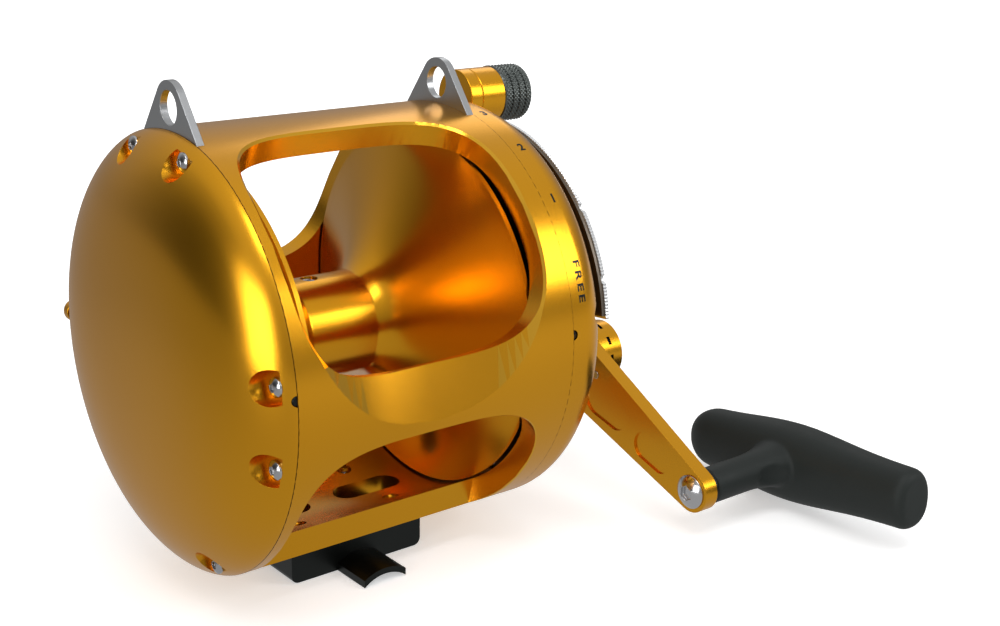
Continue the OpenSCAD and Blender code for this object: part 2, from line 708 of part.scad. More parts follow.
// Direction from the crank axis to the spool axis, a tooth of each crank gear points along it
mesh_angle = atan2(-crank_z, -crank_y);
module high_gear() {
    color("goldenrod") on_crank()
        gear_x(high_gear_x, high_gear_teeth, gear_w, mesh_angle, crank_shaft_r + seat_gap);
}
module low_gear() {
    color("goldenrod") on_crank()
        gear_x(low_gear_x, low_gear_teeth, gear_w, mesh_angle, crank_shaft_r + run_gap);
}
module high_pinion() {
    color(steel) on_axis() gear_x(high_gear_x, high_pinion_teeth, gear_w,
        mesh_angle + 180 + 180 / high_pinion_teeth, shaft_r + seat_gap);
}
module low_pinion() {
    color(steel) on_axis() gear_x(low_gear_x, low_pinion_teeth, gear_w,
        mesh_angle + 180 + 180 / low_pinion_teeth, shaft_r + seat_gap);
}

/* ---- anti-reverse ---- */
wheel_r = 15;
wheel_teeth = 18;
dog_y = 22;
dog_z = -2;
dog_pin_r = 1.8;
dog_pin_len = plate_face_x - wheel_x - 1.4;
module antireverse_wheel() {
    color(steel) on_crank() translate([wheel_x, 0, 0]) rotate([90, 0, 90]) linear_extrude(height = wheel_t)
        difference() {
            polygon([for (i = [0 : wheel_teeth - 1]) each [polar(wheel_r, i * 360 / wheel_teeth),
                polar(wheel_r - 2.2, (i + 0.12) * 360 / wheel_teeth)]]);
            circle(r = crank_shaft_r + seat_gap);
        }
}
module antireverse_pin() {
    color(steel) on_crank() translate([0, dog_y, dog_z]) rod_x(wheel_x - 0.2, dog_pin_r, dog_pin_len);
}
module antireverse_dog() {
    color(silver) on_crank() translate([wheel_x, dog_y, dog_z]) rotate([90, 0, 90])
        linear_extrude(height = wheel_t) difference() {
            union() {
                circle(r = 4);
                polygon([[-3.9, 0.8], [-7.6, -3.4], [-8.1, -5.4], [-5, -6.5], [2, -3.4]]);
            }
            circle(r = dog_pin_r + run_gap);
        }
}

/* ---- crank ---- */
shift_rod_r = 3;
nut_len = 5.4;
nut_r = 11.4;
knob_r = 13.3;
shift_travel = 3;
// Grip slots of the knob: their number, width, depth and half sweep in degrees
knob_slots = 10;
knob_slot_w = 1.6;
knob_slot_depth = 0.9;
knob_slot_sweep = 8;
knob_x = arm_x + arm_t + shift_travel + 0.6;
knob_len = 12;
tip_y = -arm_len * cos(arm_angle);
tip_z = -arm_len * sin(arm_angle);
bolt_r = 4;
module on_tip() { on_crank() translate([0, tip_y, tip_z]) children(); }

module crank_shaft() {
    x0 = half_w - 0.6;
    color(steel) on_crank() difference() {
        union() {
            rod_x(x0, crank_shaft_r, arm_x + arm_t + 0.5 - x0);
            rod_x(arm_x + arm_t, nut_r, nut_len);
        }
        rod_x(0, shift_rod_r + run_gap, 400);
    }
}
// Outline of a bar that tapers from radius r1 at the origin to radius r2 at distance d
module tapered_bar(r1, r2, d) {
    b = acos((r1 - r2) / d);
    polygon(concat(arc([0, 0], r1, b, 360 - b, 48), arc([d, 0], r2, -b, b, 32)));
}
module arm_plane(x) {
    translate([x, 0, 0]) rotate([90, 0, 90]) rotate(180 + arm_angle) children();
}
pocket_depth = 0.9;
// Milled pockets of the arm: distance from the crank axis, two radii and length
arm_pockets = [[25.5, 8.6, 6.6, 12], [57.5, 6.2, 5, 10]];
arm_pocket_side = 1.5;
module handle_arm() {
    color(gold) on_crank() difference() {
        arm_plane(arm_x) linear_extrude(height = arm_t) difference() {
            tapered_bar(arm_root_r, arm_tip_r, arm_len);
            circle(r = crank_shaft_r + seat_gap);
            translate([arm_len, 0]) circle(r = bolt_r + seat_gap);
            translate([lock_screw_d, -lock_screw_side]) circle(r = 1.8);
        }
        arm_plane(arm_x - 1) linear_extrude(height = pocket_depth + 1) {
            for (p = arm_pockets) translate([p[0], arm_pocket_side]) tapered_bar(p[1], p[2], p[3]);
        }
    }
}
lock_screw_d = 19.5;
lock_screw_side = 6.5;
module handle_lock_screw() {
    color(silver) on_crank() arm_plane(arm_x + arm_t - 7) translate([lock_screw_d, -lock_screw_side, 0]) {
        cylinder(r = 1.75, h = 7);
        translate([0, 0, 7]) difference() {
            cylinder(r = 3.4, h = 2.6);
            translate([0, 0, 1.2]) cylinder(r = 1.5, h = 2, $fn = 6);
        }
    }
}
module shift_knob() {
    color(gold) on_crank() difference() {
        union() {
            rod_x(knob_x, knob_r, knob_len);
            rod_x(wheel_x - 8, shift_rod_r, knob_x - wheel_x + 10);
        }
        difference() {
            rod_x(knob_x - 1, nut_r + 0.4, knob_len - 2);
            rod_x(knob_x - 2, shift_rod_r, knob_len);
        }
        // Grip slots round the rim
        for (a = [0 : 360 / knob_slots : 359])
            sector_x(knob_x + (knob_len - knob_slot_w) / 2, knob_r - knob_slot_depth, knob_r + 1, knob_slot_w,
                a - knob_slot_sweep, a + knob_slot_sweep);
    }
}

/* ---- grip ---- */
collar_t = 2;
stub_r = 7.6;
bar_x = arm_x + arm_t + grip_reach;
bolt_len = grip_reach - 6;
module grip_bolt() {
    color(silver) on_tip()
        screw_x(arm_x, 1, bolt_r, arm_t + bolt_len, 7.1, bolt_head_h);
}
module grip_collar() {
    color(black) on_tip() tube_x(arm_x + arm_t, stub_r + 0.3, bolt_r + seat_gap, collar_t);
}
grip_rings = 24;
grip_sides = 20;
grip_short = 0.466;
// Half height of the bar along its length fraction s, with a round short end and a flat far end
function bar_half(s) = (12.6 + 4.3 * exp(-pow((s - 0.47) / 0.28, 2)))
    * (s < 0.11 ? sqrt(max(0.02, 1 - pow((0.11 - s) / 0.11, 2))) : 1)
    * (s > 0.965 ? sqrt(1 - 0.5 * pow((s - 0.965) / 0.035, 2)) : 1);
function bar_s(i) = let (t = i / grip_rings) t < 0.3 ? 0.11 * (1 - cos(t / 0.3 * 90)) :
    t < 0.85 ? 0.11 + (t - 0.3) / 0.55 * 0.855 : 0.965 + (t - 0.85) / 0.15 * 0.035;
module grip_bar() {
    n = grip_sides;
    pts = [for (i = [0 : grip_rings], k = [0 : n - 1])
        let (s = bar_s(i), h = bar_half(s), a = k * 360 / n)
        [0.82 * h * cos(a), (grip_short - s) * grip_len, h * sin(a)]];
    polyhedron(pts, concat([[for (k = [0 : n - 1]) k]],
        [for (i = [0 : grip_rings - 1], k = [0 : n - 1]) each [
            [i * n + k, (i + 1) * n + k, i * n + (k + 1) % n],
            [i * n + (k + 1) % n, (i + 1) * n + k, (i + 1) * n + (k + 1) % n]]],
        [[for (k = [n - 1 : -1 : 0]) grip_rings * n + k]]));
}
grip_tilt = 3.9;
module grip() {
    x0 = arm_x + arm_t + collar_t + turn_gap;
    color(black) on_tip() difference() {
        union() {
            translate([bar_x, 0, -2]) rotate([-grip_tilt, 0, 0]) grip_bar();
            revolve([[x0, 0], [x0, stub_r], [x0 + 12, stub_r + 0.3], [bar_x - 16, stub_r + 1.6],
                [bar_x - 10, stub_r + 4], [bar_x, stub_r + 5], [bar_x, 0]]);
        }
        rod_x(x0 - 1, bolt_r + run_gap, arm_x + arm_t + bolt_len + 1 - x0);
    }
}

/* ---- drag lever ---- */
module lever_plane(x) {
    translate([x, 0, 0]) rotate([90, 0, 90]) rotate(180 - lever_angle) children();
}
module on_barrel() { on_axis() translate(around(0, lever_reach, lever_angle)) children(); }
pin_r = 4;
lever_root_half = 9;
lever_end_half = 6;
cam_t = 2.3;
cam_x = plate_face_x - cover_wall - cam_t - 0.2;
module drag_lever() {
    color(gold) on_axis() difference() {
        union() {
            lever_plane(lever_x) linear_extrude(height = lever_t) {
                circle(r = lever_hub_r);
                translate([lever_reach, 0]) circle(r = barrel_r);
                polygon([[0, -lever_root_half], [lever_reach, -lever_end_half],
                    [lever_reach, lever_end_half], [0, lever_root_half]]);
            }
            rod_x(cam_x + cam_t, sleeve_r, lever_x - cam_x - cam_t + 1);
        }
        rod_x(0, shaft_r + 0.4, 200);
        rod_x(lever_x + 1.5, preset_spigot_r + run_gap, 20);
        lever_plane(lever_x - 1) translate([lever_reach, 0, 0]) cylinder(r = pin_r + seat_gap, h = 20);
    }
}
module lever_barrel() {
    color(gold) on_barrel() tube_x(barrel_x, barrel_r, pin_r + seat_gap, barrel_len);
}
module lever_pin() {
    color(steel) on_barrel() rod_x(lever_x + 0.3, pin_r, lever_t + barrel_len + cap_len - 3);
}
module lever_cap() {
    x = barrel_x + barrel_len;
    color(black) on_barrel() difference() {
        rod_x(x, barrel_r + 0.4, cap_len);
        rod_x(x - 1, pin_r + seat_gap, cap_len - 1.5);
        for (k = [0.28, 0.52, 0.76]) tube_x(x + k * cap_len - 0.3, barrel_r + 2, barrel_r - 0.4, 0.6);
    }
}
module drag_cam() {
    color(silver) on_axis() difference() {
        rod_x(cam_x, sleeve_r + 2.5, cam_t);
        rod_x(0, shaft_r + 0.4, 200);
        for (a = [0 : 120 : 359]) at_angle(a, sleeve_r) rod_x(cam_x - 1, 1.6, 1 + cam_t * 0.6);
    }
}
preset_spigot_r = 9;
preset_len = 17;
preset_r = 13.5;
module preset_knob() {
    color(black) on_axis() difference() {
        union() {
            rod_x(preset_x, preset_r, preset_len);
            rod_x(lever_x + 2, preset_spigot_r, preset_x - lever_x - 1);
        }
        for (a = [0 : 15 : 359]) at_angle(a, preset_r + 0.4) rod_x(preset_x + 2, 0.9, preset_len);
    }
}
click_plate_t = 1.6;
module click_plate() {
    color(steel) on_axis() difference() {
        translate([click_x - guide_half + 0.5, guide_y + guide_t, 1 - guide_half])
            cube([2 * guide_half - 1, click_plate_t, 2 * guide_half - 2]);
        click_bore();
    }
}

frame();
left_cover();
left_cover_screws();
right_side_plate();
right_plate_screws();
bridge_plate();
bridge_screws();
left_harness_lug();
right_harness_lug();
reel_foot();
foot_screws();
drag_quadrant();
quadrant_backing();
quadrant_screws();
crank_boss();
crank_boss_screws();
inner_crank_bearing();
outer_crank_bearing();
left_shaft_bearing();
right_shaft_bearing();
click_plate();
antireverse_pin();
spool();
line_tie_screw();
spool_shaft();
click_ratchet();
drag_washer();
high_pinion();
low_pinion();
pressure_plate();
crank_shaft();
high_gear();
antireverse_wheel();
handle_arm();
handle_lock_screw();
grip_bolt();
grip_collar();
low_gear();
shift_knob();
grip();
drag_lever();
lever_barrel();
lever_pin();
lever_cap();
drag_cam();
preset_knob();
antireverse_dog();
click_button();
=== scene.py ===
import json
import math

import bmesh
import bpy
import numpy as np
from mathutils import Matrix, Vector

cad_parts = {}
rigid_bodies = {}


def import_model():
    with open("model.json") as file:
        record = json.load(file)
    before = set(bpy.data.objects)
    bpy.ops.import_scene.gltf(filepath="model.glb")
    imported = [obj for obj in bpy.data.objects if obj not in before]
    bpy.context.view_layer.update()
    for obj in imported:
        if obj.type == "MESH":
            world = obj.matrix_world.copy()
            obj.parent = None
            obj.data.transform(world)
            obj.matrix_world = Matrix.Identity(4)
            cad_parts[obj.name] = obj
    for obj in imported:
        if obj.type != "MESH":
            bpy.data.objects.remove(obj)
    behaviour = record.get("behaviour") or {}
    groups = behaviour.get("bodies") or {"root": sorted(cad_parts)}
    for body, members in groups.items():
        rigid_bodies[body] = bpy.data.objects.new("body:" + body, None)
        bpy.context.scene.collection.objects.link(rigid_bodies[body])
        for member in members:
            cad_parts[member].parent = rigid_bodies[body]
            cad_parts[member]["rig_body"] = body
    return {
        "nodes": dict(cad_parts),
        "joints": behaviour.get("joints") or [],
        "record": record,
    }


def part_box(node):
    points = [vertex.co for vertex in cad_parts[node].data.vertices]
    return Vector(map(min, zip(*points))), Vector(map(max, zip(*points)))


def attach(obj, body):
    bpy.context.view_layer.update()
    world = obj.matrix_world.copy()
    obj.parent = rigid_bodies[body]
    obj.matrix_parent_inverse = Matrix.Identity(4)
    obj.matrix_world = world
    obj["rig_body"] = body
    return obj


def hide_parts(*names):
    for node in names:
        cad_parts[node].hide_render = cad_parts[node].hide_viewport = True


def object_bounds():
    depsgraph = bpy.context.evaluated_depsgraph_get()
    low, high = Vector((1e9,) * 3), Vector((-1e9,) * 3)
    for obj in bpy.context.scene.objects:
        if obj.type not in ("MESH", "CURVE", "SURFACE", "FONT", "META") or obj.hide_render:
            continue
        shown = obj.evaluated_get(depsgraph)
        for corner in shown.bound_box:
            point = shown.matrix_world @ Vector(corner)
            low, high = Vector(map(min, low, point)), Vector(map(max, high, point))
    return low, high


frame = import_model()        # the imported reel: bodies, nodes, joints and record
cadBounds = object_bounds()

# Two-speed lever-drag trolling reel: satin gold metal, steel screws and a black rubber grip
scene = bpy.context.scene
mm = 0.001
slotOf = {part["node"]: part["material_slot"] for part in frame["record"]["subparts"]}


def jointPlace(name):
    return Vector(next(j["pos_m"] for j in frame["joints"] if j["name"] == name))


spoolAxis = jointPlace("spool_spin")
crankAxis = jointPlace("crank_spin")
gripAxis = jointPlace("grip_spin")
frameLow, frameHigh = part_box("frame")
plateRadius = frameHigh.y


def addObject(name, data):
    added = bpy.data.objects.new(name, data)
    scene.collection.objects.link(added)
    return added


# Camera, floor and light

cameraLook = {"fromAxis": (-0.2936, -0.4723, 0.1763), "azimuth": -39.14, "height": 17.09,
              "roll": 1.08, "lens": 53.67, "nearest": 0.01}


def makeCamera(look):
    az, el, roll = (math.radians(look[k]) for k in ("azimuth", "height", "roll"))
    back = Vector((math.sin(az) * math.cos(el), -math.cos(az) * math.cos(el), math.sin(el)))
    flat = Vector((math.cos(az), math.sin(az), 0))
    rise = back.cross(flat)
    right = math.cos(roll) * flat + math.sin(roll) * rise
    up = -math.sin(roll) * flat + math.cos(roll) * rise
    data = bpy.data.cameras.new("camera")
    data.lens = look["lens"]
    data.clip_start = look["nearest"]
    camera = addObject("camera", data)
    turn = Matrix((right, up, back)).transposed().to_4x4()
    camera.matrix_world = Matrix.Translation(spoolAxis + Vector(look["fromAxis"])) @ turn
    scene.camera = camera


makeCamera(cameraLook)
scene.view_settings.view_transform = "Standard"
print("camera is in place")


def addNode(tree, kind, inputs=None, **settings):
    node = tree.nodes.new("ShaderNode" + kind)
    for key, value in settings.items():
        setattr(node, key, value)
    for key, value in (inputs or {}).items():
        if isinstance(value, bpy.types.NodeSocket):
            tree.links.new(value, node.inputs[key])
        else:
            node.inputs[key].default_value = value
    return node


def newMaterial(name):
    material = bpy.data.materials.new(name)
    material.use_nodes = True
    tree = material.node_tree
    return material, tree, tree.nodes["Principled BSDF"]


floorLook = {"size": 9.0, "gap": 0.3 * mm, "colour": (0.9, 0.9, 0.9, 1), "roughness": 0.9,
             "glow": 0.45, "glowFrom": 0.25, "glowTo": 1.1,
             "paintedReflection": (0.30, 0.62), "brightSide": (0.63, -0.77, 0.0), "sideReach": 0.5}


def makeFloor(look):
    half = look["size"] / 2
    z = cadBounds[0][2] - look["gap"]
    mesh = bpy.data.meshes.new("floor")
    corners = [(-half, -half, z), (half, -half, z), (half, half, z), (-half, half, z)]
    mesh.from_pydata(corners, [], [(0, 1, 2, 3)])
    floor = addObject("floor", mesh)
    # White paper with a painted glow that grows with distance, so it fades into the backdrop. Glossy rays see
    # a painted reflection in its place: a dim glow, lighter to one side
    material, tree, shader = newMaterial("paleFloor")
    shader.inputs["Base Color"].default_value = look["colour"]
    shader.inputs["Roughness"].default_value = look["roughness"]
    place = addNode(tree, "TexCoord")
    away = addNode(tree, "VectorMath", {0: place.outputs["Object"]}, operation="LENGTH")
    far = addNode(tree, "MapRange", {0: away.outputs["Value"], 1: look["glowFrom"], 2: look["glowTo"],
                                     3: look["glow"], 4: 1.0})
    shader.inputs["Emission Color"].default_value = (1, 1, 1, 1)
    tree.links.new(far.outputs[0], shader.inputs["Emission Strength"])
    side = addNode(tree, "VectorMath", {0: place.outputs["Object"], 1: look["brightSide"]},
                   operation="DOT_PRODUCT")
    shown = addNode(tree, "MapRange", {0: side.outputs["Value"], 1: -look["sideReach"], 2: look["sideReach"],
                                       3: look["paintedReflection"][0], 4: look["paintedReflection"][1]})
    reflectionGlow = addNode(tree, "Emission", {"Strength": shown.outputs[0]})
    ray = addNode(tree, "LightPath")
    paintedReflection = addNode(tree, "MixShader", {0: ray.outputs["Is Glossy Ray"], 1: shader.outputs[0],
                                           2: reflectionGlow.outputs[0]})
    tree.links.new(paintedReflection.outputs[0], tree.nodes["Material Output"].inputs[0])
    mesh.materials.append(material)


roomLook = {"backdrop": 1.0, "low": 0.22, "high": 0.7, "lowAt": -0.1, "highAt": 0.9,
            "darkSide": (-0.93, 0.36, 0.06), "darkFrom": 0.7, "darkTo": 0.95, "darkShare": 0.85}


def makeRoom(look):
    # White to the camera. In reflections the room is lighter above, and dark on one side
    world = bpy.data.worlds.new("studioRoom")
    scene.world = world
    world.use_nodes = True
    tree = world.node_tree
    tree.nodes.clear()
    place = addNode(tree, "TexCoord")
    split = addNode(tree, "SeparateXYZ", {0: place.outputs["Generated"]})
    ramp = addNode(tree, "MapRange", {0: split.outputs["Z"], 1: look["lowAt"], 2: look["highAt"],
                                      3: look["low"], 4: look["high"]})
    facing = addNode(tree, "VectorMath", {0: place.outputs["Generated"], 1: look["darkSide"]},
                     operation="DOT_PRODUCT")
    shade = addNode(tree, "MapRange", {0: facing.outputs["Value"], 1: look["darkFrom"], 2: look["darkTo"],
                                       3: 1.0, 4: 1 - look["darkShare"]})
    dimmed = addNode(tree, "Math", {0: ramp.outputs[0], 1: shade.outputs[0]}, operation="MULTIPLY")
    seen = addNode(tree, "LightPath")
    strength = addNode(tree, "Mix", {0: seen.outputs["Is Camera Ray"], 2: dimmed.outputs[0],
                                     3: look["backdrop"]})
    back = addNode(tree, "Background", {0: (1, 1, 1, 1), 1: strength.outputs[0]})
    out = addNode(tree, "OutputWorld", {0: back.outputs[0]})
    out.is_active_output = True


softBoxes = {
    "keyLeft": {"place": (-1.2, -0.42, 0.28), "aim": (0, 0, 0.1), "size": (0.6, 0.8), "power": 7.0},
    "overhead": {"place": (-0.15, -0.45, 1.05), "aim": (0.0, 0.0, 0.1), "size": (0.8, 0.4), "power": 4.0},
    "rearSide": {"place": (0.75, -0.85, 0.62), "aim": (0.02, 0, 0.08), "size": (0.32, 0.5), "power": 2.8},
    "farRim": {"place": (0.9, 0.8, 0.9), "aim": (0, 0, 0.1), "size": (0.5, 0.5), "power": 0.8},
}


def makeLight(name, look):
    data = bpy.data.lights.new(name, "AREA")
    data.shape = "RECTANGLE"
    data.size, data.size_y = look["size"]
    data.energy = look["power"]
    light = addObject(name, data)
    light.location = look["place"]
    toAim = Vector(look["aim"]) - Vector(look["place"])
    light.rotation_euler = toAim.to_track_quat("-Z", "Y").to_euler()


makeFloor(floorLook)
makeRoom(roomLook)
for name, look in softBoxes.items():
    makeLight(name, look)
print("floor and lights are in place")

# Finishes


def turnedCoordinates(tree, axis):
    # Distance from a lathe axis and place along it, so that marks run round the piece
    place = addNode(tree, "TexCoord")
    shift = addNode(tree, "VectorMath", {0: place.outputs["Object"], 1: tuple(axis)}, operation="SUBTRACT")
    split = addNode(tree, "SeparateXYZ", {0: shift.outputs[0]})
    flat = addNode(tree, "CombineXYZ", {1: split.outputs["Y"], 2: split.outputs["Z"]})
    radius = addNode(tree, "VectorMath", {0: flat.outputs[0]}, operation="LENGTH")
    return place.outputs["Object"], split.outputs["X"], radius.outputs["Value"]


metalGrain = {"cloudScale": 14.0, "grainScale": 900.0, "markScale": 900.0, "markDetail": 4.0,
              "markShare": 1.6, "roughSwing": 0.04, "depth": 0.06 * mm}


def anodised(name, look, axis=None):
    # Dyed, blasted metal: slow change of tone, fine grain, and lathe marks where it was turned
    material, tree, shader = newMaterial(name)
    if axis is None:
        place = addNode(tree, "TexCoord").outputs["Object"]
    else:
        place, along, radius = turnedCoordinates(tree, axis)
    cloud = addNode(tree, "TexNoise", {"Vector": place, "Scale": metalGrain["cloudScale"], "Detail": 1.0})
    tone = addNode(tree, "Mix", {0: cloud.outputs[0], 6: look["deep"], 7: look["bright"]},
                   data_type="RGBA")
    tree.links.new(tone.outputs[2], shader.inputs["Base Color"])
    grain = addNode(tree, "TexNoise", {"Vector": place, "Scale": metalGrain["grainScale"], "Detail": 1.0})
    rough = addNode(tree, "MapRange", {0: cloud.outputs[0],
                                       3: look["roughness"] - metalGrain["roughSwing"],
                                       4: look["roughness"] + metalGrain["roughSwing"]})
    tree.links.new(rough.outputs[0], shader.inputs["Roughness"])
    height = grain.outputs[0]
    if axis is not None:
        ring = addNode(tree, "CombineXYZ", {0: along, 1: radius})
        marks = addNode(tree, "TexNoise", {"Vector": ring.outputs[0], "Scale": metalGrain["markScale"],
                                           "Detail": metalGrain["markDetail"]})
        both = addNode(tree, "Math", {0: marks.outputs[0], 1: metalGrain["markShare"], 2: height},
                       operation="MULTIPLY_ADD")
        height = both.outputs[0]
    bump = addNode(tree, "Bump", {"Height": height, "Strength": look["grain"],
                                  "Distance": metalGrain["depth"]})
    tree.links.new(bump.outputs[0], shader.inputs["Normal"])
    shader.inputs["Metallic"].default_value = 1.0
    return material


goldLook = {"deep": (0.74, 0.335, 0.016, 1), "bright": (0.82, 0.385, 0.020, 1),
            "roughness": 0.25, "grain": 0.05}
polishedLook = {"deep": (0.80, 0.40, 0.03, 1), "bright": (0.90, 0.50, 0.05, 1),
                "roughness": 0.12, "grain": 0.05}
# Black: the foot, knobs, collar and printed marks, and also painted shade in the knob slots and seam holes
blackLook = {"deep": (0.020, 0.022, 0.021, 1), "bright": (0.034, 0.037, 0.035, 1),
             "roughness": 0.36, "grain": 0.3}
silverLook = {"deep": (0.38, 0.39, 0.40, 1), "bright": (0.50, 0.51, 0.52, 1),
              "roughness": 0.3, "grain": 0.25}
steelLook = {"deep": (0.46, 0.46, 0.47, 1), "bright": (0.60, 0.60, 0.61, 1),
             "roughness": 0.16, "grain": 0.08}
brightLook = {"deep": (0.80, 0.81, 0.82, 1), "bright": (0.90, 0.91, 0.92, 1),
              "roughness": 0.4, "grain": 0.1}
# Dark tone: the drag fibre's own colour, and painted shade on the quadrant backing
darkLook = {"deep": (0.15, 0.125, 0.10, 1), "bright": (0.20, 0.17, 0.135, 1),
            "roughness": 0.42, "grain": 0.3}
bronzeLook = {"deep": (0.52, 0.33, 0.13, 1), "bright": (0.66, 0.45, 0.20, 1),
              "roughness": 0.3, "grain": 0.2}

goldFinish = anodised("satinGold", goldLook)
turnedGold = anodised("turnedGold", goldLook, spoolAxis)
polishedGold = anodised("polishedGold", polishedLook)
blackAndShadeFinish = anodised("blackAnodisedAndShade", blackLook)
silverFinish = anodised("brushedSilver", silverLook)
steelFinish = anodised("polishedSteel", steelLook)
brightSilver = anodised("brightSilver", brightLook)
fibreAndShadeFinish = anodised("darkFibreAndPaintedShade", darkLook)
bronzeFinish = anodised("bearingBronze", bronzeLook)


rubberLook = {"deep": (0.006, 0.009, 0.008, 1), "bright": (0.012, 0.016, 0.0145, 1),
              "cloudScale": 30.0, "patches": (0.3, 0.7), "roughness": (0.52, 0.66), "pebbleScale": 1500.0,
              "pebble": 0.35, "pebbleDepth": 0.08 * mm, "specular": 0.33}


def rubberFinish(look):
    # Moulded rubber: matte, with a fine pebble and a few duller patches
    material, tree, shader = newMaterial("mouldedRubber")
    place = addNode(tree, "TexCoord").outputs["Object"]
    cloud = addNode(tree, "TexNoise", {"Vector": place, "Scale": look["cloudScale"], "Detail": 4.0})
    tone = addNode(tree, "Mix", {0: cloud.outputs[0], 6: look["deep"], 7: look["bright"]},
                   data_type="RGBA")
    tree.links.new(tone.outputs[2], shader.inputs["Base Color"])
    rough = addNode(tree, "MapRange", {0: cloud.outputs[0], 1: look["patches"][0], 2: look["patches"][1],
                                       3: look["roughness"][0], 4: look["roughness"][1]})
    tree.links.new(rough.outputs[0], shader.inputs["Roughness"])
    pebble = addNode(tree, "TexNoise", {"Vector": place, "Scale": look["pebbleScale"], "Detail": 3.0})
    bump = addNode(tree, "Bump", {"Height": pebble.outputs[0], "Strength": look["pebble"],
                                  "Distance": look["pebbleDepth"]})
    tree.links.new(bump.outputs[0], shader.inputs["Normal"])
    shader.inputs["Specular IOR Level"].default_value = look["specular"]
    return material


rubber = rubberFinish(rubberLook)
# Inside the reel, each material slot of the frame has one finish
innerFinishes = {"silver": silverFinish, "bronze": bronzeFinish, "drag_fibre": fibreAndShadeFinish,
                 "polished": steelFinish, "steel": silverFinish}
print("finishes are made")

# Machined parts: merged copies of the frame's nodes, with broken edges and smooth curves

weld = {"grid": 1e-6, "machined": 3e-6, "surface": 1e-7, "letters": 1e-6}   # corners this near are one corner
bevelMargin = 8                # degrees past the smooth limit before an edge is broken


def mergedMesh(name):
    source = frame["nodes"][name].data
    points = np.empty(len(source.vertices) * 3)
    source.vertices.foreach_get("co", points)
    source.calc_loop_triangles()
    corners = np.empty(len(source.loop_triangles) * 3, np.int32)
    source.loop_triangles.foreach_get("vertices", corners)
    steps = np.round(points.reshape(-1, 3) / weld["grid"]).astype(np.int64)
    keys, where = np.unique(steps, axis=0, return_inverse=True)
    faces = where.reshape(-1)[corners].reshape(-1, 3)
    good = (faces[:, 0] != faces[:, 1]) & (faces[:, 1] != faces[:, 2]) & (faces[:, 2] != faces[:, 0])
    mesh = bpy.data.meshes.new(name + "Finished")
    mesh.from_pydata(keys * weld["grid"], [], faces[good])
    return mesh


def machined(name, material, edge, sharp=30.0, joinFlats=0.4, evenShade=True):
    mesh = mergedMesh(name)
    work = bmesh.new()
    work.from_mesh(mesh)
    bmesh.ops.remove_doubles(work, verts=work.verts, dist=weld["machined"])
    bmesh.ops.dissolve_limit(work, angle_limit=math.radians(joinFlats), verts=work.verts,
                             edges=work.edges)
    limit = math.radians(sharp)
    for line in work.edges:
        line.smooth = len(line.link_faces) == 2 and line.calc_face_angle(0) < limit
    for face in work.faces:
        face.smooth = True
    work.to_mesh(mesh)
    work.free()
    mesh.materials.append(material)
    piece = addObject(name + "Finished", mesh)
    if edge > 0:
        bevel = piece.modifiers.new("brokenEdge", "BEVEL")
        bevel.width = edge
        bevel.segments = 2
        bevel.limit_method = "ANGLE"
        bevel.angle_limit = math.radians(sharp + bevelMargin)
        bevel.harden_normals = True
        bevel.use_clamp_overlap = True
    if evenShade:
        piece.modifiers.new("evenShade", "WEIGHTED_NORMAL").keep_sharp = True
    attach(piece, frame["nodes"][name]["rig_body"])
    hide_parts(name)
    return piece


machinedParts = {
    "frame": {"material": goldFinish, "edge": 0.0, "sharp": 20.0, "joinFlats": 0.05, "evenShade": False},
    "left_cover": {"material": turnedGold, "edge": 0.3 * mm},
    "right_side_plate": {"material": turnedGold, "edge": 0.3 * mm},
    "left_harness_lug": {"material": silverFinish, "edge": 0.5 * mm},
    "right_harness_lug": {"material": silverFinish, "edge": 0.5 * mm},
    "reel_foot": {"material": blackAndShadeFinish, "edge": 0.4 * mm},
    "drag_quadrant": {"material": brightSilver, "edge": 0.0},
    # The quadrant backing's dark colour is painted shade, for the underside beneath the overhanging quadrant
    # plate
    "quadrant_backing": {"material": fibreAndShadeFinish, "edge": 0.0},
    "crank_boss": {"material": goldFinish, "edge": 0.5 * mm},
    "spool": {"material": turnedGold, "edge": 0.2 * mm},
    "handle_arm": {"material": goldFinish, "edge": 0.4 * mm},
    "shift_knob": {"material": goldFinish, "edge": 0.3 * mm},
    "drag_lever": {"material": goldFinish, "edge": 0.4 * mm},
    "lever_barrel": {"material": goldFinish, "edge": 0.6 * mm},
    "preset_knob": {"material": blackAndShadeFinish, "edge": 0.3 * mm},
    "grip_collar": {"material": blackAndShadeFinish, "edge": 0.3 * mm},
    "click_button": {"material": goldFinish, "edge": 0.4 * mm},
    "crank_shaft": {"material": silverFinish, "edge": 0.4 * mm},
    "left_cover_screws": {"material": steelFinish, "edge": 0.15 * mm},
    "right_plate_screws": {"material": steelFinish, "edge": 0.15 * mm},
    "line_tie_screw": {"material": steelFinish, "edge": 0.15 * mm},
    "handle_lock_screw": {"material": steelFinish, "edge": 0.2 * mm},
    "grip_bolt": {"material": steelFinish, "edge": 0.2 * mm},
    "foot_screws": {"material": steelFinish, "edge": 0.15 * mm},
    "crank_boss_screws": {"material": steelFinish, "edge": 0.15 * mm},
}
made = {name: machined(name, **look) for name, look in machinedParts.items()}
print("machined parts are finished:", len(made))

for name, cadNode in frame["nodes"].items():
    if name not in machinedParts and name not in ("grip", "lever_cap"):
        cadNode.data.materials.clear()
        cadNode.data.materials.append(innerFinishes[slotOf[name]])
print("inner parts have their finishes")


def faceVectors(mesh, field):
    values = np.empty(len(mesh.polygons) * 3)
    mesh.polygons.foreach_get(field, values)
    return values.reshape(-1, 3)


def outFrom(axis, places):
    # Unit direction away from an axis that runs along X, and the distance from it
    out = (places - np.array(axis)) * np.array([0, 1, 1])
    radius = np.linalg.norm(out, axis=1)
    return out / np.maximum(radius, 1e-9)[:, None], radius


frameShade = {"rimDepth": 1 * mm, "boreDepth": 8 * mm, "roundLean": 0.985, "scoopDepth": 8.5 * mm,
              "scoopHeight": (-12, 11), "scoopLean": (0.3, 0.97), "blend": 5 * mm}


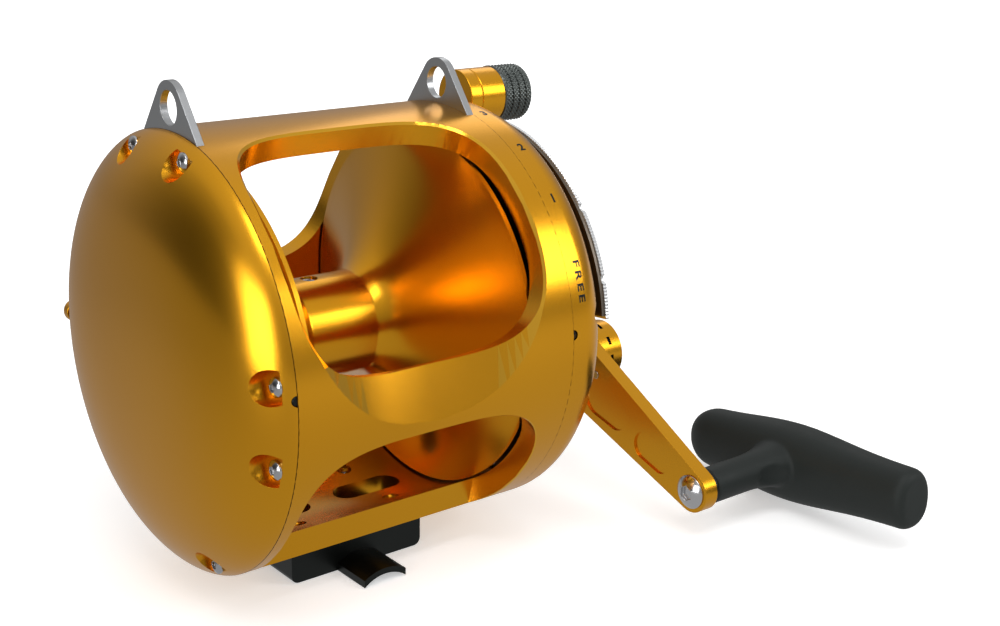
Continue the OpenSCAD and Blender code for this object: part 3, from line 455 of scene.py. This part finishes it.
def evenNormals(piece, look):
    # Rim and bore are true cylinders, so their corner normals lie along the radius. The thumb scoop turns
    # slowly along X: each normal there is a mean of the scoop's faces, weighted by area and nearness in X
    mesh = piece.data
    points = np.empty(len(mesh.vertices) * 3)
    mesh.vertices.foreach_get("co", points)
    faceNormals, centres = faceVectors(mesh, "normal"), faceVectors(mesh, "center")
    areas, totals = np.empty(len(mesh.polygons)), np.empty(len(mesh.polygons), np.int32)
    mesh.polygons.foreach_get("area", areas)
    mesh.polygons.foreach_get("loop_total", totals)
    owner = np.empty(len(mesh.loops), np.int32)
    mesh.loops.foreach_get("vertex_index", owner)
    cornerPoints = points.reshape(-1, 3)[owner]

    out, radius = outFrom(spoolAxis, centres)
    lean = (faceNormals * out).sum(1)
    height = np.degrees(np.arctan2(out[:, 2], -out[:, 1]))
    onRim = (radius > plateRadius - look["rimDepth"]) & (lean > look["roundLean"])
    onBore = (radius < plateRadius - look["boreDepth"]) & (lean < -look["roundLean"])
    onScoop = (height > look["scoopHeight"][0]) & (height < look["scoopHeight"][1])
    onScoop &= (lean > look["scoopLean"][0]) & (lean < look["scoopLean"][1])
    onScoop &= radius > plateRadius - look["scoopDepth"]

    faceOf = np.repeat(np.arange(len(totals)), totals)
    cornerOut = outFrom(spoolAxis, cornerPoints)[0]
    normals = np.zeros((len(owner), 3))       # a zero keeps Blender's own normal
    normals[onRim[faceOf]] = cornerOut[onRim[faceOf]]
    normals[onBore[faceOf]] = -cornerOut[onBore[faceOf]]
    corners = np.nonzero(onScoop[faceOf])[0]
    apart = cornerPoints[corners, 0][:, None] - centres[onScoop, 0][None, :]
    weight = np.exp(-(apart / look["blend"]) ** 2) * areas[onScoop][None, :]
    average = weight @ faceNormals[onScoop]
    normals[corners] = average / np.linalg.norm(average, axis=1)[:, None]
    mesh.normals_split_custom_set(normals.tolist())


windowPolish = {"depth": 1.5 * mm, "lean": (0.3, 0.88)}


def polishWindowEdges(piece, look):
    # The bevel round each window leans between the wall and the outer face, and it alone is polished
    mesh = piece.data
    mesh.materials.append(polishedGold)
    out, radius = outFrom(spoolAxis, faceVectors(mesh, "center"))
    lean = (faceVectors(mesh, "normal") * out).sum(1)
    bevelled = (radius > plateRadius - look["depth"]) & (lean > look["lean"][0]) & (lean < look["lean"][1])
    mesh.polygons.foreach_set("material_index", bevelled.astype(np.int32))


evenNormals(made["frame"], frameShade)
polishWindowEdges(made["frame"], windowPolish)

slotShade = {"reach": 1.4 * mm, "lip": 0.15 * mm, "from": 10 * mm, "to": 2 * mm, "outerLean": 0.9}


def paintSlotShade(piece, look):
    # Floors and walls of the knob's grip slots get the black material: painted shade for the recesses
    mesh = piece.data
    mesh.materials.append(blackAndShadeFinish)
    centres = faceVectors(mesh, "center")
    out, radius = outFrom(crankAxis, centres)
    outer = radius.max()
    facing = (faceVectors(mesh, "normal") * out).sum(1)
    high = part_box("shift_knob")[1]
    inRim = (centres[:, 0] > high.x - look["from"]) & (centres[:, 0] < high.x - look["to"])
    sunk = (radius < outer - look["lip"]) | (facing < look["outerLean"])
    paintedShade = inRim & sunk & (radius > outer - look["reach"])
    mesh.polygons.foreach_set("material_index", paintedShade.astype(np.int32))


paintSlotShade(made["shift_knob"], slotShade)

# Surfaces worked out on a grid


def closeMesh(mesh, gap):
    work = bmesh.new()
    work.from_mesh(mesh)
    bmesh.ops.remove_doubles(work, verts=work.verts, dist=gap)
    bmesh.ops.recalc_face_normals(work, faces=work.faces)
    work.to_mesh(mesh)
    work.free()


def gridSurface(name, points, material, body, closeEnds=True):
    # points[i, k] is ring i, place k round it; rings join up, and each end closes on its middle
    rings, sides = points.shape[:2]
    i, k = np.meshgrid(np.arange(rings - 1), np.arange(sides), indexing="ij")
    nextK = (k + 1) % sides
    faces = np.stack([i * sides + k, i * sides + nextK, (i + 1) * sides + nextK, (i + 1) * sides + k], -1)
    corners = points.reshape(-1, 3)
    faceList = faces.reshape(-1, 4).tolist()
    if closeEnds:
        total = rings * sides
        corners = np.concatenate([corners, [points[0].mean(0), points[-1].mean(0)]])
        side = np.arange(sides)
        after = (side + 1) % sides
        faceList += np.stack([np.full(sides, total), after, side], -1).tolist()
        last = (rings - 1) * sides
        faceList += np.stack([np.full(sides, total + 1), last + side, last + after], -1).tolist()
    mesh = bpy.data.meshes.new(name)
    mesh.from_pydata(corners, [], faceList)
    closeMesh(mesh, weld["surface"])
    mesh.shade_smooth()
    mesh.materials.append(material)
    piece = addObject(name, mesh)
    if body:
        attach(piece, body)
    return piece


knurl = {"starts": 44, "depth": 0.55 * mm, "grooveDepth": 0.8 * mm, "grooveHalf": 0.35 * mm,
         "grooves": (0.27, 0.51, 0.75), "roundEnd": 1.6 * mm, "plainEnd": 1.2 * mm,
         "around": 480, "along": 128,
         "finish": {"deep": (0.10, 0.11, 0.105, 1), "bright": (0.14, 0.155, 0.148, 1), "roughness": 0.3,
                    "grain": 0.05}}


def knurledCap(look):
    # Radius = barrel - crossed helices (diamond knurl, faded at both ends) - grooves - rounded outer end
    low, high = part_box("lever_cap")
    length, outer = high.x - low.x, (high.z - low.z) / 2
    axisY, axisZ = (low.y + high.y) / 2, (low.z + high.z) / 2
    t = np.linspace(0, 1, look["along"])[:, None]
    angle = np.linspace(0, 2 * np.pi, look["around"], endpoint=False)[None, :]
    x = length * t
    pitch = 2 * np.pi * outer / look["starts"]
    one = np.abs(np.sin(look["starts"] * angle / 2 + np.pi * x / pitch))
    two = np.abs(np.sin(look["starts"] * angle / 2 - np.pi * x / pitch))
    fade = np.clip(np.minimum(x, length - x) / look["plainEnd"], 0, 1)
    radius = outer - look["depth"] * fade * (1 - np.minimum(one, two))
    for share in look["grooves"]:
        near = np.clip(1 - np.abs(x - share * length) / look["grooveHalf"], 0, 1)
        radius = radius - look["grooveDepth"] * np.minimum(1, 2 * near) * np.ones_like(angle)
    inward = np.clip((x - (length - look["roundEnd"])) / look["roundEnd"], 0, 1)
    radius = radius - look["roundEnd"] * (1 - np.sqrt(np.maximum(0, 1 - inward ** 2)))
    points = np.stack([low.x + x + 0 * radius, axisY + radius * np.cos(angle),
                       axisZ + radius * np.sin(angle)], -1)
    knurledBlack = anodised("knurledBlack", look["finish"])
    cap = gridSurface("knurledCap", points, knurledBlack, "drag_lever")
    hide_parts("lever_cap")


knurledCap(knurl)
print("lever cap is knurled")

gripShape = {"shortShare": 0.466, "length": 121.4 * mm, "slim": 0.82, "tilt": 3.9, "drop": 2 * mm,
             "half": 12.6 * mm, "swell": 4.3 * mm, "swellAt": 0.47, "swellWidth": 0.28,
             "roundEnd": 0.11, "flatEnd": 0.955, "turnIn": 0.45, "power": 0.9, "least": 0.0004,
             "steps": (22, 56, 12), "around": 72,
             "voxel": 0.75 * mm, "soften": 0.5, "softenTimes": 7}
stubShape = {"neck": 7.6 * mm, "flareAt": 0.42, "flarePower": 1.8, "wideFlare": 11.5 * mm,
             "tallFlare": 5.0 * mm, "sag": 1.2 * mm, "along": 40, "around": 64}
# Hollows on both sides of the stub: middle, measured from the bar's, and half sizes
stubScoops = [{"place": (-24.5 * mm, -17.5 * mm, -1 * mm), "half": (11.5 * mm, 11 * mm, 14 * mm)},
              {"place": (-26 * mm, 18 * mm, 1 * mm), "half": (12 * mm, 10 * mm, 15 * mm)}]


def gripBar(look, middle):
    # Bar: half height swells near the stub, rounds off at the short end and turns in at the flat end
    first, last = look["roundEnd"], look["flatEnd"]
    startSteps, barSteps, endSteps = look["steps"]
    s = np.concatenate([first * (1 - np.cos(np.linspace(0, np.pi / 2, startSteps)[:-1])),
                        np.linspace(first, last, barSteps)[:-1], np.linspace(last, 1, endSteps)])[:, None]
    angle = np.linspace(0, 2 * np.pi, look["around"], endpoint=False)[None, :]
    half = look["half"] + look["swell"] * np.exp(-((s - look["swellAt"]) / look["swellWidth"]) ** 2)
    half = half * np.where(s < first, np.sqrt(np.maximum(look["least"], 1 - ((first - s) / first) ** 2)), 1)
    turnedIn = look["turnIn"] * ((s - last) / (1 - last)) ** 3
    half = half * np.where(s > last, np.sqrt(np.maximum(0.0, 1 - turnedIn)), 1)
    cosine, sine = np.cos(angle), np.sin(angle)
    x = look["slim"] * half * np.sign(cosine) * np.abs(cosine) ** look["power"]
    z = half * np.sign(sine) * np.abs(sine) ** look["power"]
    y = (look["shortShare"] - s) * look["length"] + 0 * angle
    tilt = math.radians(-look["tilt"])
    turnedY = y * math.cos(tilt) - z * math.sin(tilt)
    turnedZ = y * math.sin(tilt) + z * math.cos(tilt)
    return np.stack([middle.x + x, middle.y + turnedY, middle.z - look["drop"] + turnedZ], -1)


def gripStub(look, start, middle):
    # Stub: a round neck at the arm that spreads along the bar as it meets it
    t = np.linspace(0, 1, look["along"])[:, None]
    angle = np.linspace(0, 2 * np.pi, look["around"], endpoint=False)[None, :]
    spread = np.clip((t - look["flareAt"]) / (1 - look["flareAt"]), 0, 1) ** look["flarePower"]
    wide = look["neck"] + look["wideFlare"] * spread
    tall = look["neck"] + look["tallFlare"] * spread
    x = start + (middle.x - start) * t + 0 * angle
    return np.stack([x, middle.y + wide * np.cos(angle),
                     middle.z - look["sag"] * spread + tall * np.sin(angle)], -1)


def ellipsoid(centre, sizes, rings=30, around=48, poleGap=0.02):
    # Latitude by longitude, closed at both poles
    lat = np.linspace(-np.pi / 2 + poleGap, np.pi / 2 - poleGap, rings)[:, None]
    lon = np.linspace(0, 2 * np.pi, around, endpoint=False)[None, :]
    unit = np.stack([np.cos(lat) * np.cos(lon), np.cos(lat) * np.sin(lon), np.sin(lat) + 0 * lon], -1)
    return np.array(centre) + unit * np.array(sizes)


def evaluatedMesh(source):
    return bpy.data.meshes.new_from_object(source.evaluated_get(bpy.context.evaluated_depsgraph_get()))


def makeGrip(look):
    low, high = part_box("grip")
    middle = Vector((high.x - look["slim"] * (look["half"] + look["swell"]), gripAxis.y, gripAxis.z))
    bar = gridSurface("rubberGrip", gripBar(look, middle), rubber, None)
    stub = gridSurface("gripStub", gripStub(stubShape, low.x, middle), rubber, None)
    scoops = [gridSurface("scoop", ellipsoid(np.array(middle) + one["place"], one["half"]), rubber,
                          None) for one in stubScoops]
    for scoop in scoops:
        cut = stub.modifiers.new("cut", "BOOLEAN")
        cut.operation, cut.solver, cut.object = "DIFFERENCE", "EXACT", scoop
    join = bar.modifiers.new("join", "BOOLEAN")
    join.operation, join.solver, join.object = "UNION", "EXACT", stub
    blendStep = bar.modifiers.new("voxels", "REMESH")
    blendStep.mode, blendStep.voxel_size = "VOXEL", look["voxel"]
    soften = bar.modifiers.new("soften", "SMOOTH")
    soften.factor, soften.iterations = look["soften"], look["softenTimes"]
    shape = evaluatedMesh(bar)
    bar.modifiers.clear()
    bar.data = shape
    shape.shade_smooth()
    for helper in [stub, *scoops]:
        bpy.data.objects.remove(helper)
    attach(bar, "grip")
    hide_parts("grip")


makeGrip(gripShape)
print("grip is moulded")

# Painted marks, and black discs painted as the shade of the seam holes

dialMarks = {
    "one": {"text": "1", "angle": 41.0, "size": 5.0 * mm, "alongRim": False},
    "two": {"text": "2", "angle": 58.5, "size": 5.0 * mm, "alongRim": False},
    "three": {"text": "3", "angle": 76.0, "size": 5.0 * mm, "alongRim": False},
    "free": {"text": "FREE", "angle": 18.3, "size": 6.2 * mm, "alongRim": True},
}
markPlace = {"x": 64.6 * mm, "paint": 0.05 * mm, "bold": 0.17 * mm, "squat": 0.65, "spacing": 1.35}


def paintMark(name, look):
    # Flat letters bent on the rim: one axis of the letter runs along X, the other round the spool axis
    curve = bpy.data.curves.new(name, "FONT")
    curve.body, curve.size = look["text"], look["size"]
    curve.align_x, curve.align_y = "CENTER", "CENTER"
    curve.extrude = markPlace["paint"]
    curve.offset = markPlace["bold"]
    curve.space_character = markPlace["spacing"]
    source = addObject(name + "Letters", curve)
    mesh = evaluatedMesh(source)
    bpy.data.objects.remove(source)
    flat = np.empty(len(mesh.vertices) * 3)
    mesh.vertices.foreach_get("co", flat)
    across, up, out = flat.reshape(-1, 3).T
    radius = plateRadius + out
    if look["alongRim"]:
        angle = math.radians(look["angle"]) - across / plateRadius
        x = markPlace["x"] + markPlace["squat"] * up
    else:
        angle = math.radians(look["angle"]) + up / plateRadius
        x = markPlace["x"] + across
    bent = np.stack([x, spoolAxis.y - radius * np.cos(angle),
                     spoolAxis.z + radius * np.sin(angle)], -1)
    mesh.vertices.foreach_set("co", bent.ravel())
    closeMesh(mesh, weld["letters"])
    mesh.materials.clear()
    mesh.materials.append(blackAndShadeFinish)
    mark = addObject(name + "Mark", mesh)
    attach(mark, "frame")


for name, look in dialMarks.items():
    paintMark(name, look)
print("drag marks are painted")

seamHoleShade = {"radius": 1.8 * mm, "sink": 0.25 * mm, "angles": (4.6, 175.4),
            "shares": (1.0, 1.0, 0.85, 0.5, 0.05),
            "heights": (-1.6 * mm, -0.25 * mm, -0.08 * mm, 0.0, 0.02 * mm), "around": 32}


def paintHoleShade(name, x, angle, look):
    # A low crowned black disc, turned about the radial direction at the seam: painted shade filling a round
    # hole
    share, height = np.array(look["shares"])[:, None], np.array(look["heights"])[:, None]
    turn = np.linspace(0, 2 * np.pi, look["around"], endpoint=False)[None, :]
    radial = np.array([0, -math.cos(angle), math.sin(angle)])
    sideways = np.array([0, math.sin(angle), math.cos(angle)])
    centre = np.array([x, spoolAxis.y, spoolAxis.z]) + radial * (plateRadius - look["sink"])
    spot = look["radius"] * share
    points = (centre + (spot * np.cos(turn))[..., None] * np.array([1.0, 0, 0])
              + (spot * np.sin(turn))[..., None] * sideways + (height + 0 * turn)[..., None] * radial)
    gridSurface(name, points, blackAndShadeFinish, "frame")


# Four black discs at the seams: painted shade of the round holes there
holeShadePlaces = [(x, degrees) for x in (frameLow.x, frameHigh.x) for degrees in seamHoleShade["angles"]]
for index, (x, degrees) in enumerate(holeShadePlaces):
    paintHoleShade("seamHoleShade%d" % index, x, math.radians(degrees), seamHoleShade)
print("seam plugs are in")

seamLine = {"half": 0.28 * mm, "flat": 0.5, "sink": 0.12 * mm, "around": 240, "sides": 10}


def makeSeamLine(name, x, look):
    # Shadow gap: a thin ring (circle carried round the spool axis) sunk into each joint of the shells
    turn = np.linspace(0, 2 * np.pi, look["around"], endpoint=False)[:, None]
    small = np.linspace(0, 2 * np.pi, look["sides"], endpoint=False)[None, :]
    radius = plateRadius - look["sink"] + look["half"] * np.sin(small) * look["flat"]
    points = np.stack([x + look["half"] * np.cos(small) + 0 * turn, spoolAxis.y - radius * np.cos(turn),
                       spoolAxis.z + radius * np.sin(turn)], -1)
    gridSurface(name, np.concatenate([points, points[:1]]), gapShade, "frame",
                closeEnds=False)


gapShade = anodised("gapShade", {"deep": (0.05, 0.02, 0.004, 1), "bright": (0.09, 0.035, 0.006, 1),
                                 "roughness": 0.5, "grain": 0.1})
makeSeamLine("clickSideSeam", frameLow.x, seamLine)
makeSeamLine("crankSideSeam", frameHigh.x, seamLine)
print("seams are drawn")
